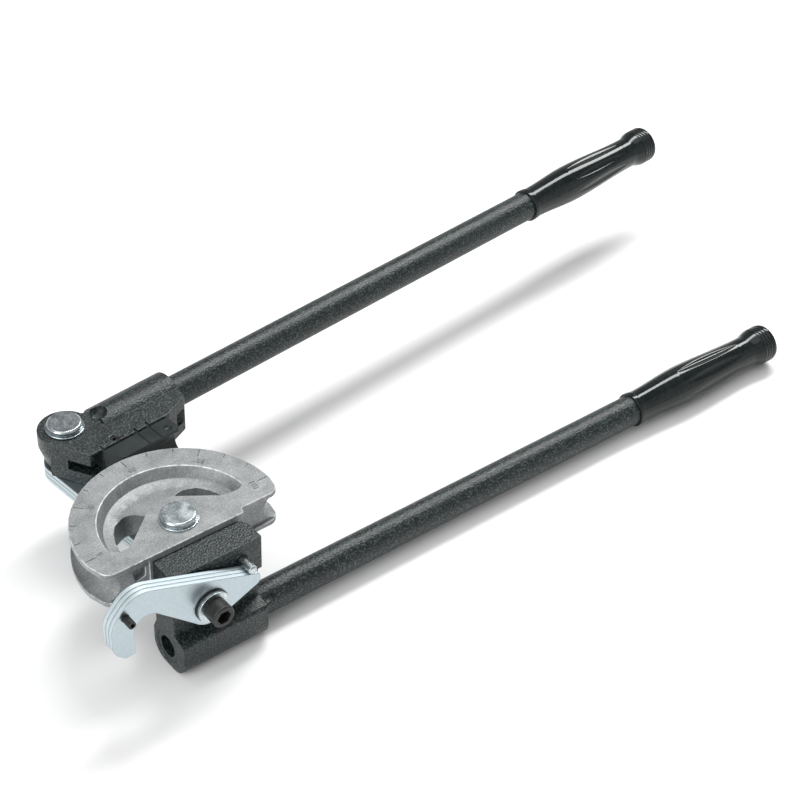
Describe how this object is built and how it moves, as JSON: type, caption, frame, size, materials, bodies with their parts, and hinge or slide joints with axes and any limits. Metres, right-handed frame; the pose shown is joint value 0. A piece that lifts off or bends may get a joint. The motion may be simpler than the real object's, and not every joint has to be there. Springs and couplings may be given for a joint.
{
  "type": "lever tube bender",
  "caption": "Two-handled lever tube bender with a grooved half-round die, a pivoting shoe head on a laminated link and a swinging hook that holds the tube.",
  "frame": {"origin": "on the flat bottom of the handle socket, straight below the fixed handle's axis and level with the bend axis along the handle", "axes": "+X along the fixed handle towards its grip, +Y from the fixed handle towards the lever, +Z along the bend axis, away from the socket's flat bottom"},
  "size_m": [0.7331, 0.2834, 0.1068],
  "materials": {
    "texture_paint": "rough wrinkled powder coat, charcoal",
    "grip_plastic": "glossy moulded black",
    "cast_alloy": "matt, sand cast",
    "zinc_steel": "bright zinc plate",
    "black_steel": "black oxide",
    "shoe_black": "smooth satin black"
  },
  "bodies": {
    "frame": {"body_casting": "texture_paint", "lower_tube": "texture_paint", "lower_grip": "grip_plastic", "forming_die": "cast_alloy", "die_pin": "zinc_steel", "die_pin_washer": "zinc_steel", "die_pin_clip": "black_steel", "hook_sleeve": "zinc_steel", "hook_back_washer": "zinc_steel", "hook_spring_washer": "black_steel", "hook_washer": "zinc_steel", "hook_screw": "black_steel", "hook_stop_pin": "zinc_steel"},
    "link": {"link_plate_top": "zinc_steel", "link_plate_middle": "zinc_steel", "link_plate_bottom": "zinc_steel", "head_pin": "zinc_steel", "head_pin_washer": "zinc_steel", "head_pin_clip": "black_steel"},
    "lever": {"head_casting": "texture_paint", "shoe": "shoe_black", "shoe_pin": "black_steel", "upper_tube": "texture_paint", "upper_grip": "grip_plastic"},
    "hook": {"hook_plate_back": "zinc_steel", "hook_plate_middle": "zinc_steel", "hook_plate_front": "zinc_steel", "hook_lift_pin": "black_steel"}
  },
  "joints": [
    {"name": "link_swing", "type": "hinge", "parent": "frame", "child": "link", "pos_m": [0, 0.035, 0.058], "axis": [0, 0, 1], "range_deg": [-95.5, 84.5]},
    {"name": "lever_pivot", "type": "hinge", "parent": "link", "child": "lever", "pos_m": [-0.01294, 0.16938, 0.08], "axis": [0, 0, 1], "range_deg": [0, 120]},
    {"name": "hook_swing", "type": "hinge", "parent": "frame", "child": "hook", "pos_m": [-0.013, -0.019, 0.0645], "axis": [0, 1, 0], "range_deg": [0, 40]}
  ]
}
